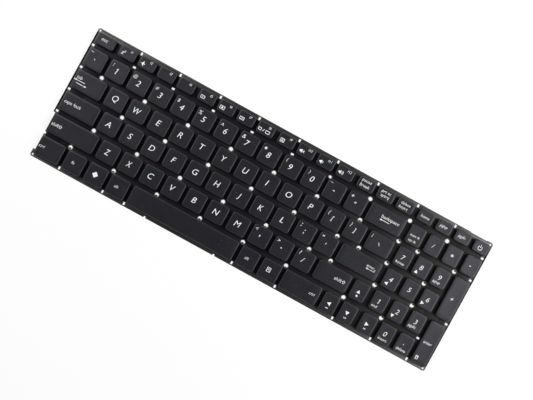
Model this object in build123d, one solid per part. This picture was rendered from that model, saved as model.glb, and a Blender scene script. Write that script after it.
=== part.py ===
"""Laptop replacement keyboard: a punched metal plate that carries a film switch sheet, and low key caps
that travel on scissor links over rubber domes. X runs along the rows, Y towards the function row, and Z
up from the underside of the plate. All sizes are in millimetres."""

import os
from dataclasses import dataclass
from math import asin, atan, atan2, degrees, hypot

from build123d import *

# Key grid: one unit is a letter key with its share of the gap beside it
column_pitch = 18.75
column_gap = 3.25
row_gap = 3.83
cap_depth = 15.2
bottom_cap_depth = 15.5
function_cap_depth = 9.1
function_group_space = 1.17

# Number pad, right of the main block
pad_pitch = 15.9
pad_gap = 3.6
block_gap = 4.8

# Key caps: moulded shells with leaning sides
cap_height = 2.2
cap_lean = 0.25
cap_wall = 1.1
cap_roof = 0.8
corner_cut = 1.2
key_travel = 1.7
landing_gap = 0.2
post_inset = 3.0

# Raised bars that the fingers find on the home keys
homing_length = 3.0
homing_width = 0.5
homing_height = 0.2
homing_drop = 4.6

# Scissor links and rubber domes under the caps
link_clearance = 1.25
link_thickness = 0.6
arm_width = 1.0
arm_gap = 0.5
dome_radius = 2.5
dome_clearance = 0.5
dome_lean = 22.0
seat_gap = 0.1

# Base plate: the rim that shows round the caps, and the sheet's thickness
left_margin = 2.9
right_margin = 2.0
back_margin = 2.9
front_margin = 3.3
plate_thickness = 0.6

# Holes and slots in the plate
eyelet_inset = 1.75
eyelet_radius = 0.95
rivet_radius = 1.7
pilot_radius = 1.25
function_rivet_drop = 1.2
bottom_rivet_drop = 0.6
edge_slot_length = 2.3
edge_slot_width = 1.5
edge_slot_inset = 2.1
small_slot_length = 2.3
small_slot_width = 1.4
cable_slot_length = 24.0
cable_slot_width = 2.5

# Cut-outs along the plate's edges
notch_width = 1.5
notch_depth = 1.2
left_step_depth = 1.7
left_step_end = 5.9
back_dip_depth = 0.4
back_dip_length = 14.0
back_dip_start = 42.5

# Switch film on the plate
film_thickness = 0.3
film_clearance = 0.4

# Rows of the main block from back to front: key names with their widths in units
LETTER = 1.0
ARROW = 5 / 6
NUMBER_ROW = [("grave", LETTER)]
NUMBER_ROW += [(digit, LETTER) for digit in "1234567890"]
NUMBER_ROW += [("minus", LETTER), ("equals", LETTER), ("backspace", 1.75)]
UPPER_ROW = [("tab", 1.5)]
UPPER_ROW += [(letter, LETTER) for letter in "qwertyuiop"]
UPPER_ROW += [("left_bracket", LETTER), ("right_bracket", LETTER), ("backslash", 1.25)]
HOME_ROW = [("caps_lock", 1.75)]
HOME_ROW += [(letter, LETTER) for letter in "asdfghjkl"]
HOME_ROW += [("semicolon", LETTER), ("apostrophe", LETTER), ("enter", 2.0)]
LOWER_ROW = [("left_shift", 2.25)]
LOWER_ROW += [(letter, LETTER) for letter in "zxcvbnm"]
LOWER_ROW += [("comma", LETTER), ("period", LETTER), ("slash", LETTER)]
LOWER_ROW += [("right_shift", 5 / 3), ("up", ARROW)]
BOTTOM_ROW = [("left_control", 1.25), ("fn", LETTER), ("system", LETTER), ("left_alt", LETTER)]
BOTTOM_ROW += [("space", 5.0), ("right_alt", LETTER), ("menu", LETTER)]
BOTTOM_ROW += [("right_control", 11 / 6), ("left", ARROW), ("down", ARROW)]
MAIN_ROWS = [NUMBER_ROW, UPPER_ROW, HOME_ROW, LOWER_ROW, BOTTOM_ROW]

# The function row after escape, in groups with a wider gap before each
FUNCTION_GROUPS = [
    ["f1", "f2", "f3", "f4"],
    ["f5", "f6", "f7", "f8"],
    ["f9", "f10", "f11", "f12"],
    ["pause", "print", "delete"],
]

# Pad rows from the function row forward, by column; a tall key fills its own row and the next
PAD_ROWS = [
    ["home", "page_up", "page_down", "power"],
    ["num_lock", "divide", "multiply", "subtract"],
    ["pad_7", "pad_8", "pad_9", "add"],
    ["pad_4", "pad_5", "pad_6"],
    ["pad_1", "pad_2", "pad_3", "pad_enter"],
    ["right", "pad_0", "pad_point"],
]
TALL_KEYS = ["add", "pad_enter"]

# Keys with a homing bar, and those whose long cap rides on two scissors
HOMING_KEYS = ["f", "j", "pad_5"]
LONG_KEYS = ["space"]

# Keys that share a node and stay at rest; every other key has its own node and travels
SHARED_NODES = {
    "function_row_keys": ["escape", *sum(FUNCTION_GROUPS, []), *PAD_ROWS[0]],
    "number_pad_keys": [name for row in PAD_ROWS[1:] for name in row if name != "right"],
    "cursor_and_modifier_keys": [
        *["caps_lock", "left_control", "fn", "system", "left_alt", "right_alt", "menu"],
        *["right_control", "up", "left", "down", "right"],
    ],
}

# Levels, from the underside of the plate up
film_top = plate_thickness + film_thickness
cap_bottom = film_top + landing_gap + key_travel
roof_underside = cap_bottom + cap_height - cap_roof

# Insides of a letter cap: the inner link goes round the dome, and the outer link round both
cap_draft = degrees(atan(cap_lean / cap_height))
hollow_inset = 2 * (cap_wall - cap_lean)
link_length = column_pitch - column_gap - hollow_inset - 2 * link_clearance
inner_link_width = 2 * (dome_radius + dome_clearance + arm_width)
outer_link_width = inner_link_width + 2 * (arm_gap + arm_width)

# Places along X
block_units = sum(units for _, units in NUMBER_ROW)
block_length = block_units * column_pitch - column_gap
pad_length = len(PAD_ROWS[0]) * pad_pitch - pad_gap
plate_length = left_margin + block_length + block_gap + pad_length + right_margin
plate_right = plate_length / 2
block_left = left_margin - plate_right
pad_left = block_left + block_length + block_gap
block_gap_middle = pad_left - block_gap / 2

# Places along Y, where row 0 is the function row and each seam is the middle of the gap in front of a row
row_depths = [function_cap_depth] + [cap_depth] * (len(MAIN_ROWS) - 1) + [bottom_cap_depth]
plate_depth = back_margin + sum(row_depths) + row_gap * len(MAIN_ROWS) + front_margin
plate_back = plate_depth / 2
row_backs = [plate_back - back_margin]
for row_depth in row_depths[:-1]:
    row_backs.append(row_backs[-1] - row_depth - row_gap)
row_fronts = [back - depth for back, depth in zip(row_backs, row_depths)]
row_seams = [front - row_gap / 2 for front in row_fronts]

STANDING = (Align.CENTER, Align.CENTER, Align.MIN)


@dataclass
class Key:
    """One key: its name, and the middle and size of its cap's top."""

    name: str
    x: float
    y: float
    width: float
    depth: float


def key_at(name, left, width, row):
    """A key whose cap starts at left and fills its row, or this row and the next if it is tall."""
    front = row_fronts[row + 1 if name in TALL_KEYS else row]
    depth = row_backs[row] - front
    return Key(name, left + width / 2, front + depth / 2, width, depth)


def lay_main_keys():
    """The five rows of the main block."""
    keys = []
    for row, names in enumerate(MAIN_ROWS, start=1):
        left = block_left
        for name, units in names:
            keys.append(key_at(name, left, units * column_pitch - column_gap, row))
            left += units * column_pitch
    return keys


def lay_function_keys():
    """The function row: escape, then the groups, spread so that the row is as long as the main block."""
    count = sum(len(group) for group in FUNCTION_GROUPS)
    spaces = len(FUNCTION_GROUPS) * function_group_space
    pitch = ((block_units - LETTER) * column_pitch - spaces) / count
    keys = [key_at("escape", block_left, LETTER * column_pitch - column_gap, 0)]
    left = block_left + LETTER * column_pitch
    for group in FUNCTION_GROUPS:
        left += function_group_space
        for name in group:
            keys.append(key_at(name, left, pitch - column_gap, 0))
            left += pitch
    return keys


def lay_pad_keys():
    """The number pad, with the four keys behind it and the right arrow at its foot."""
    return [
        key_at(name, pad_left + column * pad_pitch, pad_pitch - pad_gap, row)
        for row, names in enumerate(PAD_ROWS)
        for column, name in enumerate(names)
    ]


function_row = lay_function_keys()
keys = {key.name: key for key in function_row + lay_main_keys() + lay_pad_keys()}


def block_seam(units):
    """X of the gap that lies this many units from the main block's left end."""
    return block_left + units * column_pitch - column_gap / 2


def pad_seam(columns):
    """X of the gap after this many pad columns."""
    return pad_left + columns * pad_pitch - pad_gap / 2


def function_seam(count):
    """X of the gap after this many keys of the function row, escape not counted."""
    key, following = function_row[count], function_row[count + 1]
    return (key.x + key.width / 2 + following.x - following.width / 2) / 2


# Rivet rows from back to front: the Y of each, and the X of its holes
block_steps = [
    (1, 3, 5, 7, 9, 11, 13),
    (2.5, 4.5, 6.5, 8.5, 10.5, 12.5, 13.5),
    (1.75, 3.75, 5.75, 7.75, 9.75, 11.75, 12.75),
    (1.25, 3.25, 5.25, 7.25, 9.25, 11.25, block_units - ARROW),
]
rivet_ys = [row_seams[0] - function_rivet_drop, *row_seams[1:4], row_seams[4] - bottom_rivet_drop]
rivet_xs = [
    [function_seam(13), block_gap_middle, pad_seam(2)],
    [*map(block_seam, block_steps[0]), block_gap_middle, pad_seam(1), pad_seam(3)],
    [*map(block_seam, block_steps[1]), block_gap_middle, pad_seam(2)],
    [*map(block_seam, block_steps[2]), block_gap_middle, pad_seam(2)],
    [*map(block_seam, block_steps[3]), pad_seam(1)],
]

# Small slots beside the rivets, as X and Y: five behind the number row and one at the pad's foot
small_slots = [(function_seam(count), row_seams[0]) for count in (1, 3, 5, 7, 9)]
small_slots.append((pad_seam(3), rivet_ys[4]))


def few_sided_hole(radius):
    """A hole with eight sides that a round rivet of this radius just fills."""
    return RegularPolygon(radius, 8, major_radius=False)


def punched_holes():
    """Rivet holes and one smaller pilot hole, eight-sided because they repeat, and four round eyelets."""
    rivet_hole = few_sided_hole(rivet_radius)
    holes = [Pos(x, y) * rivet_hole for y, row in zip(rivet_ys, rivet_xs) for x in row]
    holes.append(Pos(function_seam(11), rivet_ys[0]) * few_sided_hole(pilot_radius))
    across, along = plate_right - eyelet_inset, plate_back - eyelet_inset
    holes += [Pos(x, y) * Circle(eyelet_radius) for x in (-across, across) for y in (-along, along)]
    return holes


def slots():
    """Small slots, slots along the four edges, and the one where the ribbon cable leaves."""
    small = Rectangle(small_slot_length, small_slot_width)
    cuts = [Pos(x, y) * small for x, y in small_slots]
    upright = Rectangle(edge_slot_width, edge_slot_length)
    level = Rectangle(edge_slot_length, edge_slot_width)
    along, across = plate_back - edge_slot_inset, plate_right - edge_slot_inset
    back_xs = [*map(function_seam, (1, 3, 5, 7, 9, 11, 13)), block_gap_middle, pad_seam(2)]
    front_xs = [*map(block_seam, (1.25, 3.25, 4.25, 9.25, 11.25, block_units - ARROW))]
    front_xs += [pad_seam(1), pad_seam(3)]
    cuts += [Pos(x, along) * upright for x in back_xs]
    cuts += [Pos(x, -along) * upright for x in front_xs]
    cuts += [Pos(-across, row_seams[row]) * level for row in (0, 1, 2, 3)]
    cuts += [Pos(across, row_seams[row]) * level for row in (0, 1, 3)]
    cable_slot = Rectangle(cable_slot_length, cable_slot_width)
    cuts.append(Pos(keys["space"].x, keys["space"].y) * cable_slot)
    return cuts


def edge_cuts():
    """The long step in the left edge, three open notches, and a shallow dip in the back edge by the pad."""
    step_back, step_front = row_backs[4], left_step_end - plate_back
    step = Rectangle(2 * left_step_depth, step_back - step_front)
    cuts = [Pos(-plate_right, (step_back + step_front) / 2) * step]
    cuts.append(Pos(left_step_depth - plate_right, row_seams[4]) * Rectangle(2 * notch_depth, notch_width))
    front_notch = Rectangle(notch_width, 2 * notch_depth)
    cuts += [Pos(block_seam(units), -plate_back) * front_notch for units in (5.25, 8.45)]
    dip_middle = pad_left + back_dip_start + back_dip_length / 2
    cuts.append(Pos(dip_middle, plate_back) * Rectangle(back_dip_length, 2 * back_dip_depth))
    return cuts


def base_plate():
    """Flat sheet with its corners rounded about the eyelets."""
    sheet = RectangleRounded(plate_length, plate_depth, eyelet_inset)
    return extrude(sheet - (punched_holes() + slots() + edge_cuts()), amount=plate_thickness)


def switch_film():
    """Thin sheet on the plate, slotted along each row of rivets so that it clears them."""
    margin = edge_slot_inset + edge_slot_length / 2 + film_clearance
    sheet = Rectangle(plate_length - 2 * margin, plate_depth - 2 * margin)
    reach = rivet_radius + film_clearance
    for y, rivets in zip(rivet_ys, rivet_xs):
        row = rivets + [slot_x for slot_x, slot_y in small_slots if abs(slot_y - y) < row_gap]
        low, high = min(row) - reach, max(row) + reach
        sheet -= Pos((low + high) / 2, y) * Rectangle(high - low, 2 * reach)
    return Pos(0, 0, plate_thickness) * extrude(sheet, amount=film_thickness)


def cap_block(key):
    """A cap as one solid: flat top, leaning sides, flat-cut corners and, on some, a homing bar."""
    foot = Rectangle(key.width + 2 * cap_lean, key.depth + 2 * cap_lean)
    block = extrude(chamfer(foot.vertices(), corner_cut), amount=cap_height, taper=cap_draft)
    if key.name in HOMING_KEYS:
        bar = Box(homing_length, homing_width, homing_height, align=STANDING)
        block += Pos(0, -homing_drop, cap_height) * bar
    return Pos(key.x, key.y, cap_bottom) * block


def moving_cap(key):
    """A cap that travels: a shell, hollow underneath for its scissor and dome."""
    length, width = key.width - hollow_inset, key.depth - hollow_inset
    hollow = Box(length, width, cap_height - cap_roof, align=STANDING)
    return cap_block(key) - Pos(key.x, key.y, cap_bottom) * hollow


def resting_cap(key):
    """A cap that shares a node: fused to a post that stands on the film."""
    length, width = key.width - 2 * post_inset, key.depth - 2 * post_inset
    post = Box(length, width, cap_bottom - film_top, align=STANDING)
    return cap_block(key) + Pos(key.x, key.y, film_top) * post


def support_spots(key):
    """Places on the film under a cap for its scissors and domes, spread evenly along it."""
    count = 2 if key.name in LONG_KEYS else 1
    step = key.width / count
    first = key.x - key.width / 2 + step / 2
    return [Pos(first + number * step, key.y, film_top) for number in range(count)]


def scissor_pair():
    """Two open yokes that cross: each has a bar at its low end and two arms that rise to the cap's roof."""
    room = roof_underside - film_top
    tilt = asin((room - 2 * seat_gap) / hypot(link_length, link_thickness))
    tilt -= atan2(link_thickness, link_length)
    links = []
    for width, turn in ((outer_link_width, 0), (inner_link_width, 180)):
        opening = Pos(arm_width, 0) * Rectangle(link_length, width - 2 * arm_width)
        yoke = extrude(Rectangle(link_length, width) - opening, amount=link_thickness / 2, both=True)
        links.append(Pos(0, 0, room / 2) * Rot(0, 0, turn) * Rot(0, -degrees(tilt), 0) * yoke)
    return links


def rubber_dome():
    """A frustum from the film to just under the cap's roof, with few sides because it repeats."""
    hexagon = RegularPolygon(dome_radius, 6, major_radius=False)
    return extrude(hexagon, amount=roof_underside - film_top - seat_gap, taper=dome_lean)


def group(pieces):
    """Several separate solids as one shape."""
    return Compound([solid for piece in pieces for solid in piece.solids()])


nodes = {"base_plate": base_plate(), "switch_film": switch_film()}
shared_keys = sum(SHARED_NODES.values(), [])
travelling_keys = [key for key in keys.values() if key.name not in shared_keys]
spots = [spot for key in travelling_keys for spot in support_spots(key)]
links = scissor_pair()
dome = rubber_dome()
nodes["scissor_links"] = group(spot * link for spot in spots for link in links)
nodes["rubber_domes"] = group(spot * dome for spot in spots)
for node, names in SHARED_NODES.items():
    nodes[node] = group(resting_cap(keys[name]) for name in names)
for key in travelling_keys:
    nodes[f"key_{key.name}"] = moving_cap(key)

os.makedirs("parts", exist_ok=True)
for node, shape in nodes.items():
    shape.label = node
    export_step(shape, f"parts/{node}.step")
print(len(keys), "keys,", len(nodes), "nodes, plate", round(plate_length, 2), "x", round(plate_depth, 2))
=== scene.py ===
# %% [markdown]
# # A laptop's replacement keyboard
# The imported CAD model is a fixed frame: a punched plate, a switch film, scissor links, rubber domes and 102
# key caps, each at its true size and place. This lesson dresses that frame. Every piece reads its place from
# the frame, so nothing is fitted by eye, and every piece moves with the body that carries it.

# %% Load the frame
from math import cos, pi, radians, sin

import bmesh
import bpy
from mathutils import Matrix, Vector


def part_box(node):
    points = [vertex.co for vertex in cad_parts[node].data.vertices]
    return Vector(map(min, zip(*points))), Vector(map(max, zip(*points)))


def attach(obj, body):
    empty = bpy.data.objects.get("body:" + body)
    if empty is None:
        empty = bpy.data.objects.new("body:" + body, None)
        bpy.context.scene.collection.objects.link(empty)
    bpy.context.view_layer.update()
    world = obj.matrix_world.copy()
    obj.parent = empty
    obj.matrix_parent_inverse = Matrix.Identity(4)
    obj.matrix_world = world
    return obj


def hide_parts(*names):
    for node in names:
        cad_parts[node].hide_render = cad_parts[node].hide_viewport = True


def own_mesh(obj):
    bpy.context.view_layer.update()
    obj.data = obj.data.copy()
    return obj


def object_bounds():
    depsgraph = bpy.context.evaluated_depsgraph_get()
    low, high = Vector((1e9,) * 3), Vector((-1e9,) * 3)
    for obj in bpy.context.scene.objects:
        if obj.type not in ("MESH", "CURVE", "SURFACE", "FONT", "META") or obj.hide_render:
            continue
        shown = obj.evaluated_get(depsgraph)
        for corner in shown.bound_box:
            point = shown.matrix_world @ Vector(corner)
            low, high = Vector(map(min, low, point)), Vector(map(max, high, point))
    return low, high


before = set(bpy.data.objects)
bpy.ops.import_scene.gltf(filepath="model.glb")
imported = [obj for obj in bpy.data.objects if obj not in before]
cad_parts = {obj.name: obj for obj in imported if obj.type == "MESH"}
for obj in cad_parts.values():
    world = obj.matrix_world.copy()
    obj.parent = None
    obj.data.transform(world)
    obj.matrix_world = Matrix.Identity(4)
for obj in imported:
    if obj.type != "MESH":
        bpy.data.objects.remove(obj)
cad_low, cad_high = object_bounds()
scene = bpy.context.scene
scene.view_settings.view_transform = "Standard"
MM = 0.001

# %% [markdown]
# ## The camera
# The photograph looks straight down, with the keyboard turned across the frame so that its long sides run
# from the upper left to the lower right. A camera with no tilt and a turn about the vertical axis gives that.
# Its height and lens come from the plate's length in the picture, and its place from the plate's middle.

# %% Set up the camera
PHOTO_TURN = radians(28.8)
CAMERA_PLACE = Vector((3.5, 1.4, 568.0)) * MM
CAMERA_LENS = 50.27

camera_data = bpy.data.cameras.new("photo_camera")
camera_data.lens = CAMERA_LENS
camera_data.sensor_width = 36.0
camera_data.clip_start = 0.01
camera_data.clip_end = 100.0
camera = bpy.data.objects.new("photo_camera", camera_data)
camera.location = CAMERA_PLACE
camera.rotation_euler = (0, 0, PHOTO_TURN)
scene.collection.objects.link(camera)
scene.camera = camera
print("camera", round(CAMERA_PLACE.z / MM), "mm above the plate's underside")

# %% [markdown]
# ## Where the keys are
# 53 keys have a node of their own, and 49 share three nodes. A shared node is several separate solids, so its
# mesh falls apart into islands of connected vertices once doubled vertices are merged. Sorted from back to
# front and from left to right, the islands come in the order in which a reader would name the keys.

# %% Find each key's box
FUNCTION_ROW = ["escape", *(f"f{n}" for n in range(1, 13)), "pause", "print", "delete"]
FUNCTION_ROW += ["home", "page_up", "page_down", "power"]
NUMBER_PAD = ["num_lock", "divide", "multiply", "subtract", "pad_7", "pad_8", "pad_9", "add", "pad_4", "pad_5"]
NUMBER_PAD += ["pad_6", "pad_1", "pad_2", "pad_3", "pad_enter", "pad_0", "pad_point"]
CURSOR_AND_MODIFIERS = ["caps_lock", "up", "left_control", "fn", "system", "left_alt", "right_alt", "menu"]
CURSOR_AND_MODIFIERS += ["right_control", "left", "down", "right"]
SHARED_KEYS = {
    "function_row_keys": FUNCTION_ROW,
    "number_pad_keys": NUMBER_PAD,
    "cursor_and_modifier_keys": CURSOR_AND_MODIFIERS,
}


def merged_copy(node):
    """A bmesh of a node, in which vertices at the same place are one."""
    bm = bmesh.new()
    bm.from_mesh(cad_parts[node].data)
    bmesh.ops.remove_doubles(bm, verts=bm.verts, dist=0.002 * MM)
    return bm


def islands(bm):
    """The vertices of each separate solid in a bmesh."""
    left = set(bm.verts)
    found = []
    while left:
        edge = [left.pop()]
        island = list(edge)
        while edge:
            vert = edge.pop()
            near = {e.other_vert(vert) for e in vert.link_edges} & left
            left -= near
            edge += near
            island += near
        found.append(island)
    return found


def island_box(island):
    """Lowest and highest corner of some vertices."""
    axes = list(zip(*(vert.co for vert in island)))
    return Vector(map(min, axes)), Vector(map(max, axes))


key_box = {name[4:]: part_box(name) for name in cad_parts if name.startswith("key_")}
key_node = {name: f"key_{name}" for name in key_box}
for node, names in SHARED_KEYS.items():
    bm = merged_copy(node)
    boxes = [island_box(island) for island in islands(bm)]
    boxes.sort(key=lambda box: (-round(box[1].y / MM), box[0].x))
    key_box.update(zip(names, boxes))
    key_node.update((name, node) for name in names)
    bm.free()
travelling = [name for name in key_box if key_node[name] == f"key_{name}"]
print(len(key_box), "keys, of which", len(travelling), "travel")

# %% [markdown]
# ## Shader maths as Python
# A finish needs a little arithmetic on textures. Wrapping a socket in a class whose operators add Math nodes
# lets that arithmetic read as ordinary expressions. Any other node comes from one method, which sets the
# node's settings first and then fills its sockets with values or links.


# %% Wrap a socket
class Socket:
    """A node's output that Python can calculate with."""

    def __init__(self, output):
        self.output = output

    @classmethod
    def of(cls, tree, kind, settings=None, values=None, result=0):
        """Adds a node of this kind: its settings, then its sockets' values or links. Gives one output."""
        node = tree.nodes.new(kind)
        for name, value in (settings or {}).items():
            setattr(node, name, value)
        for name, value in (values or {}).items():
            if isinstance(value, Socket):
                tree.links.new(value.output, node.inputs[name])
            else:
                node.inputs[name].default_value = value
        return cls(node.outputs[result])

    def math(self, operation, other):
        return Socket.of(self.output.id_data, "ShaderNodeMath", {"operation": operation}, {0: self, 1: other})

    def __add__(self, other):
        return self.math("ADD", other)

    def __mul__(self, other):
        return self.math("MULTIPLY", other)

    def __gt__(self, other):
        return self.math("GREATER_THAN", other)

    __radd__ = __add__


print("sockets can be added, multiplied and compared")

# %% [markdown]
# ## Tools for finishes
# Each finish starts from a Principled shader and one noise or two in object coordinates, which here are
# metres in the shared frame. A texture's scale is then easy to choose: 1000 divided by the size of its grain
# in millimetres.


# %% Start a finish
def start_finish(name, **constants):
    """A new material, its node tree and its shader, with sockets that are the same all over set on it."""
    material = bpy.data.materials.new(name)
    material.use_nodes = True
    shader = material.node_tree.nodes["Principled BSDF"]
    for socket, value in constants.items():
        shader.inputs[socket.replace("_", " ")].default_value = value
    return material, material.node_tree, shader


def grain(tree, size, detail=2.0):
    """Noise from 0 to 1 with grains of this size in millimetres."""
    place = Socket.of(tree, "ShaderNodeTexCoord", result="Object")
    values = {"Vector": place, "Scale": 1 / (size * MM), "Detail": detail}
    return Socket.of(tree, "ShaderNodeTexNoise", values=values)


def blend(tree, factor, first, second):
    """A colour between two others."""
    values = {0: factor, 6: first, 7: second}
    return Socket.of(tree, "ShaderNodeMix", {"data_type": "RGBA"}, values, result=2)


def ramp(tree, value, low, high):
    """Stretches the part of a value between low and high to 0 to 1."""
    values = {0: value, 1: low, 2: high}
    return Socket.of(tree, "ShaderNodeMapRange", {"clamp": True}, values)


def feed(shader, **links):
    """Links sockets into a shader by name."""
    for socket, value in links.items():
        shader.id_data.links.new(value.output, shader.inputs[socket.replace("_", " ")])


def bump(tree, height, depth):
    """A normal from a height of 0 to 1 that stands for this depth in millimetres."""
    values = {"Height": height, "Distance": depth * MM}
    return Socket.of(tree, "ShaderNodeBump", values=values)


def dusted(tree, colour, size, low, high, strength, pale):
    """A colour with pale specks of this grain, which appear where a noise rises from a low level to a high one."""
    specks = ramp(tree, grain(tree, size, 0.0), low, high)
    return blend(tree, specks * strength, colour, (*pale, 1))


def grained_finish(name, size, dark, light, rough, swing, detail=2.0, relief=None, dust=None, **constants):
    """A finish in which one noise moves the colour from dark to light, and the roughness by a swing. Relief is the
    grain and the depth of a bump, both in millimetres, and dust holds the values of the specks."""
    material, tree, shader = start_finish(name, **constants)
    noise = grain(tree, size, detail)
    colour = blend(tree, noise, (*dark, 1), (*light, 1))
    if dust:
        colour = dusted(tree, colour, **dust)
    feed(shader, Base_Color=colour, Roughness=rough + noise * swing)
    if relief:
        feed(shader, Normal=bump(tree, grain(tree, relief[0]), relief[1]))
    return material


print("tools for finishes are ready")

# %% [markdown]
# ## Cap plastic and white print
# The caps are moulded in black plastic from a spark-eroded mould, which leaves a fine grain and a satin sheen.
# They aren't painted, so colour hardly changes over a cap: a faint mottling, and dust that shows as pale
# specks. The rounded edges get a lighter colour than the tops, a painted highlight for the light that they
# catch. The legends are a thin coat of white ink, slightly uneven in tone.

# %% Make the finishes of the caps
COOL_SHEEN = (0.90, 0.90, 1.0, 1)
CAP_DUST = {"size": 0.9, "low": 0.83, "high": 0.86, "strength": 0.25, "pale": (0.22, 0.22, 0.22)}

cap_plastic = grained_finish(
    "cap_plastic", size=9.0, detail=3.0, dark=(0.0050, 0.0052, 0.0072), light=(0.0085, 0.0088, 0.0112), rough=0.36,
    swing=0.08, relief=(0.12, 0.006), dust=CAP_DUST, Specular_IOR_Level=0.33, Specular_Tint=COOL_SHEEN,
)
# painted highlight: the rounded edges are coloured lighter than the tops
edge_highlight = grained_finish(
    "edge_highlight", size=2.5, detail=3.0, dark=(0.014, 0.0145, 0.0165), light=(0.034, 0.0345, 0.037), rough=0.42,
    swing=-0.12, relief=(0.12, 0.004), Specular_IOR_Level=0.45, Specular_Tint=COOL_SHEEN,
)
white_print = grained_finish(
    "white_print", size=0.5, dark=(0.78, 0.79, 0.80), light=(0.88, 0.88, 0.87), rough=0.5, swing=0.1,
    Specular_IOR_Level=0.3,
)
print("finishes:", cap_plastic.name, edge_highlight.name, white_print.name)

# %% [markdown]
# ## The shape of a cap
# A cap is a thin shell: a leaning skirt, a rounded top edge that catches the light as a pale strip, and a top
# that sinks slightly to hold the finger. It could be a bevelled box, but a stack of rings gives every contour
# its own height. Each ring is a rounded rectangle with the same number of points, so neighbouring rings join
# as neat quads from the ceiling of the hollow, round the rim and up to the middle of the top.

# %% Join rings
CORNER_STEPS = 5
SIDE_STEPS = 4


def rounded_ring(half_x, half_y, radius):
    """Points round a rounded rectangle, anticlockwise from the start of its front right corner."""
    corners = [(1, -1), (1, 1), (-1, 1), (-1, -1)]
    points = []
    for number, (sx, sy) in enumerate(corners):
        start = (number - 1) * pi / 2
        middle = Vector((sx * (half_x - radius), sy * (half_y - radius)))
        for step in range(CORNER_STEPS + 1):
            angle = start + step / CORNER_STEPS * pi / 2
            points.append(middle + radius * Vector((cos(angle), sin(angle))))
        tx, ty = corners[(number + 1) % 4]
        following = Vector((tx * (half_x - radius), ty * (half_y - radius)))
        offset = radius * Vector((cos(start + pi / 2), sin(start + pi / 2)))
        for step in range(1, SIDE_STEPS):
            points.append(middle.lerp(following, step / SIDE_STEPS) + offset)
    return points


def join_rings(bm, lower, upper, material=0):
    """Quads between two closed rows of vertices."""
    for n in range(len(lower)):
        m = (n + 1) % len(lower)
        face = bm.faces.new((lower[n], lower[m], upper[m], upper[n]))
        face.material_index = material


def add_rings(bm, rings, highlit=()):
    """Joins rings of 3-D points, each to the next, and closes the first and the last with a face. The bands
    that start at a highlit ring get the second finish, a painted highlight."""
    stack = [[bm.verts.new(point) for point in ring] for ring in rings]
    for number, (lower, upper) in enumerate(zip(stack, stack[1:])):
        join_rings(bm, lower, upper, 1 if number in highlit else 0)
    bm.faces.new(stack[0][::-1])
    bm.faces.new(stack[-1])


print("a ring has", 4 * (CORNER_STEPS + SIDE_STEPS), "points")

# %% [markdown]
# ## A cap's contours
# From below, the contours of a cap are its hollow, the small rounding of its rim, the skirt, the rounded top edge
# and the dish. Wall, roof and edge are as thick as on a moulded cap, and the outer size is the frame's. The long
# bar has a flat top, because a thumb strikes it anywhere.

# %% Stack a cap
CAP_LEAN = 0.25 * MM
CAP_WALL = 1.1 * MM
CAP_ROOF = 0.8 * MM
CAP_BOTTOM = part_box("key_q")[0].z
CAP_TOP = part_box("key_q")[1].z
CORNER_RADIUS = 1.9 * MM
SMALLEST_CORNER = 0.3 * MM
EDGE_WIDTH = 0.62 * MM
EDGE_DROP = 0.5 * MM
EDGE_STEPS = 4
DISH_DEPTH = 0.10 * MM
DISH_SCALES = [0.8, 0.6, 0.4, 0.2]
HOLLOW_DRAFT = 0.15 * MM
RIM_ROUND = 0.12 * MM
RIM_INNER_ROUND = 0.08 * MM


class Cap:
    """One cap's place and size: the middle of its top, half its top's sizes, and how far the top sinks."""

    def __init__(self, name):
        low, high = key_box[name]
        self.name = name
        self.middle = (low + high) / 2
        self.half_x = (high.x - low.x) / 2 - CAP_LEAN
        self.half_y = (high.y - low.y) / 2 - CAP_LEAN
        self.dish = 0.0 if name == "space" else DISH_DEPTH

    def surface(self, x, y):
        """Height of the top at a place measured from the cap's middle."""
        across = min(1.0, abs(x) / (self.half_x - EDGE_WIDTH))
        along = min(1.0, abs(y) / (self.half_y - EDGE_WIDTH))
        return CAP_TOP - self.dish * (1 - across**2) * (1 - along**2)

    def ring(self, inset, z):
        radius = max(CORNER_RADIUS - inset, SMALLEST_CORNER)
        points = rounded_ring(self.half_x - inset, self.half_y - inset, radius)
        return [Vector((p.x, p.y, z)) for p in points]

    def build(self, bm):
        """The shell, about the cap's own middle."""
        inner = CAP_WALL - CAP_LEAN
        rings = [self.ring(inner + HOLLOW_DRAFT, CAP_TOP - CAP_ROOF)]
        rings.append(self.ring(inner, CAP_BOTTOM + RIM_INNER_ROUND))
        rings += [self.ring(inset, CAP_BOTTOM) for inset in (inner - RIM_ROUND, RIM_ROUND - CAP_LEAN)]
        rings.append(self.ring(-CAP_LEAN, CAP_BOTTOM + RIM_ROUND))
        edge = len(rings)
        for step in range(EDGE_STEPS + 1):
            angle = step / EDGE_STEPS * pi / 2
            inset = EDGE_WIDTH * (1 - cos(angle))
            rings.append(self.ring(inset, CAP_TOP - EDGE_DROP * (1 - sin(angle))))
        top = rings[-1]
        for scale in DISH_SCALES:
            ring = [Vector((p.x * scale, p.y * scale, 0)) for p in top]
            rings.append([Vector((p.x, p.y, self.surface(p.x, p.y))) for p in ring])
        # the bands of the rounded top edge take the painted highlight
        add_rings(bm, rings, highlit=range(edge, edge + EDGE_STEPS))


trial = bmesh.new()
Cap("q").build(trial)
print("a letter cap has", len(trial.faces), "faces")
trial.free()

# %% [markdown]
# ## Printed words
# The legends are letters, digits and plain words in a leaning sans serif. Blender's built-in font, sheared a
# little, is close to them. A text turns into a mesh at millimetre size first, because filling very small
# outlines loses their corners. The real strokes are a little thinner, so each outline then shrinks along its
# own normals; the font's offset setting would do the same but throws spikes at sharp corners.

# %% Turn words into ink
INK_ABOVE = 0.02
FONT_SHEAR = 0.18
INK_SPREAD = -0.005
NARROW = {"W": 0.9, "X": 0.75, "Z": 0.78, "Y": 0.9, "K": 0.9}


def as_mesh(bm, name):
    """A mesh of what a bmesh holds. The bmesh is freed."""
    mesh = bpy.data.meshes.new(name)
    bm.to_mesh(mesh)
    bm.free()
    return mesh


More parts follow.
